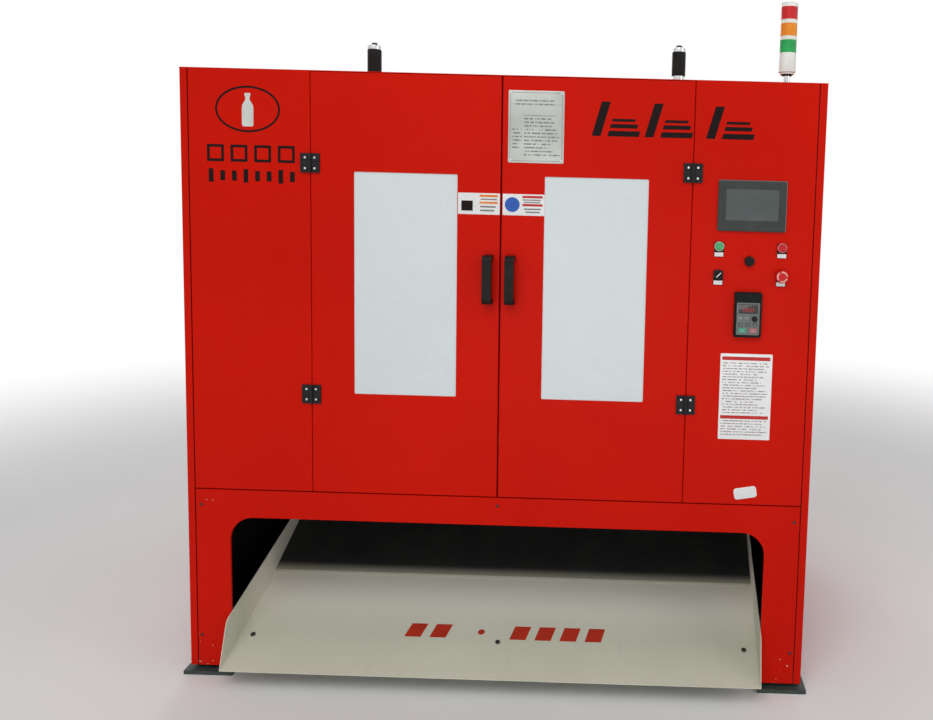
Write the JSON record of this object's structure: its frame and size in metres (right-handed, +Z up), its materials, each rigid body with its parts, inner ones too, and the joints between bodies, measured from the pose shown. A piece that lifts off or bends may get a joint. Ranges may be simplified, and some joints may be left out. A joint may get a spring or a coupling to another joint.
{
  "type": "blow moulding machine",
  "caption": "Enclosed stretch blow moulding machine: red sheet metal cabinet with windowed double doors, control panel, light tower and a bottle chute under an arched apron.",
  "frame": {"origin": "on the floor, at the centre of the four anchor holes in the foot plates", "axes": "+Z up, -Y out of the front with the doors, +X to the right of a person facing the front"},
  "size_m": [1.93, 1.207, 2.098],
  "materials": {
    "red_paint": "satin powder coat, orange red",
    "foot_paint": "dark green-black paint",
    "frame_paint": "dark grey paint",
    "deck_steel": "ground steel",
    "chute_paint": "beige paint, scuffed",
    "mat_rubber": "matt rubber",
    "black_plastic": "fine-grained moulded plastic",
    "fitting_steel": "turned steel",
    "tower_white": "white moulded plastic",
    "green_lens": "clear tinted plastic",
    "amber_lens": "clear tinted plastic",
    "red_lens": "clear tinted plastic",
    "bezel_plastic": "dark grey moulded plastic",
    "screen_glass": "screen, switched off",
    "collar_metal": "satin",
    "housing_plastic": "dark moulded plastic",
    "keypad_plastic": "grey moulded plastic",
    "key_plastic": "dark grey keys",
    "green_key": "green key",
    "pink_key": "red key, faded",
    "hinge_black": "black powder coat",
    "window_pane": "pale opaque polycarbonate",
    "start_green": "green button",
    "stop_red": "red button",
    "estop_red": "red mushroom head",
    "clamp_blue": "blue enamel",
    "platen_blue": "blue enamel",
    "mould_metal": "machined, cavities polished",
    "chrome_bar": "hard chromed bars",
    "cylinder_metal": "anodised",
    "carriage_metal": "machined",
    "stretch_steel": "ground steel",
    "oven_sheet": "bright reflector sheet",
    "lamp_quartz": "quartz tube",
    "electrics": "grey equipment on a plate"
  },
  "bodies": {
    "cabinet": {"foot_plates": "foot_paint", "frame_posts": "frame_paint", "frame_cross_rails": "frame_paint", "frame_side_rails": "frame_paint", "deck_plate": "deck_steel", "left_side_panel": "red_paint", "right_side_panel": "red_paint", "roof_panel": "red_paint", "rear_panels": "red_paint", "left_front_panel": "red_paint", "control_panel": "red_paint", "front_apron": "red_paint", "chute_tray": "chute_paint", "chute_mat": "mat_rubber", "silencer_bodies": "black_plastic", "silencer_fittings": "fitting_steel", "tower_pole": "fitting_steel", "tower_housing": "tower_white", "tower_green_lens": "green_lens", "tower_amber_lens": "amber_lens", "tower_red_lens": "red_lens", "hmi_bezel": "bezel_plastic", "hmi_screen": "screen_glass", "switch_collars": "collar_metal", "buzzer": "black_plastic", "drive_housing": "housing_plastic", "drive_keypad": "keypad_plastic", "hinge_frame_leaves": "hinge_black", "clamp_end_plates": "clamp_blue", "tie_bars": "chrome_bar", "clamp_cylinders": "cylinder_metal", "blow_bridge": "clamp_blue", "head_cylinders": "cylinder_metal", "oven_housing": "oven_sheet", "oven_lamps": "lamp_quartz", "electrical_plate": "electrics"},
    "left_door": {"left_door": "red_paint", "left_window": "window_pane", "left_handle": "black_plastic", "left_door_leaves": "hinge_black"},
    "right_door": {"right_door": "red_paint", "right_window": "window_pane", "right_handle": "black_plastic", "right_door_leaves": "hinge_black"},
    "start_button": {"start_button": "start_green"},
    "stop_button": {"stop_button": "stop_red"},
    "selector": {"selector_knob": "black_plastic"},
    "emergency_stop": {"estop_button": "estop_red"},
    "speed_dial": {"drive_dial": "black_plastic"},
    "run_key": {"drive_run_key": "green_key"},
    "stop_key": {"drive_stop_key": "pink_key"},
    "left_key": {"drive_left_key": "key_plastic"},
    "middle_key": {"drive_middle_key": "key_plastic"},
    "right_key": {"drive_right_key": "key_plastic"},
    "left_clamp": {"left_platen": "platen_blue", "left_mould": "mould_metal"},
    "right_clamp": {"right_platen": "platen_blue", "right_mould": "mould_metal"},
    "blow_head": {"blow_carriage": "carriage_metal"},
    "stretch_head": {"stretch_carriage": "stretch_steel"}
  },
  "joints": [
    {"name": "left_door_hinge", "type": "hinge", "parent": "cabinet", "child": "left_door", "pos_m": [-0.565, -0.556, 1.242], "axis": [0, 0, -1], "range_deg": [0, 110]},
    {"name": "right_door_hinge", "type": "hinge", "parent": "cabinet", "child": "right_door", "pos_m": [0.565, -0.556, 1.242], "axis": [0, 0, 1], "range_deg": [0, 110]},
    {"name": "start_push", "type": "slide", "parent": "cabinet", "child": "start_button", "axis": [0, 1, 0], "range_m": [0, 0.004], "stiffness_N_per_m": 400},
    {"name": "stop_push", "type": "slide", "parent": "cabinet", "child": "stop_button", "axis": [0, 1, 0], "range_m": [0, 0.004], "stiffness_N_per_m": 400},
    {"name": "selector_turn", "type": "hinge", "parent": "cabinet", "child": "selector", "pos_m": [0.649, -0.55, 1.292], "axis": [0, -1, 0], "range_deg": [0, 90]},
    {"name": "emergency_stop_push", "type": "slide", "parent": "cabinet", "child": "emergency_stop", "axis": [0, 1, 0], "range_m": [0, 0.005]},
    {"name": "speed_dial_turn", "type": "hinge", "parent": "cabinet", "child": "speed_dial", "pos_m": [0.759, -0.57, 1.1645], "axis": [0, 1, 0], "range_deg": [-135, 135]},
    {"name": "run_key_push", "type": "slide", "parent": "cabinet", "child": "run_key", "axis": [0, 1, 0], "range_m": [0, 0.0008], "stiffness_N_per_m": 600},
    {"name": "stop_key_push", "type": "slide", "parent": "cabinet", "child": "stop_key", "axis": [0, 1, 0], "range_m": [0, 0.0008], "stiffness_N_per_m": 600},
    {"name": "left_key_push", "type": "slide", "parent": "cabinet", "child": "left_key", "axis": [0, 1, 0], "range_m": [0, 0.0008], "stiffness_N_per_m": 600},
    {"name": "middle_key_push", "type": "slide", "parent": "cabinet", "child": "middle_key", "axis": [0, 1, 0], "range_m": [0, 0.0008], "stiffness_N_per_m": 600},
    {"name": "right_key_push", "type": "slide", "parent": "cabinet", "child": "right_key", "axis": [0, 1, 0], "range_m": [0, 0.0008], "stiffness_N_per_m": 600},
    {"name": "right_clamp_open", "type": "slide", "parent": "cabinet", "child": "right_clamp", "axis": [1, 0, 0], "range_m": [0, 0.12]},
    {"name": "left_clamp_open", "type": "slide", "parent": "cabinet", "child": "left_clamp", "axis": [-1, 0, 0], "range_m": [0, 0.12]},
    {"name": "blow_head_lower", "type": "slide", "parent": "cabinet", "child": "blow_head", "axis": [0, 0, -1], "range_m": [0, 0.0447]},
    {"name": "stretch_head_lower", "type": "slide", "parent": "cabinet", "child": "stretch_head", "axis": [0, 0, -1], "range_m": [0, 0.28]}
  ],
  "couplings": [
    {"joint": "left_clamp_open", "follows": "right_clamp_open", "ratio": 1}
  ]
}
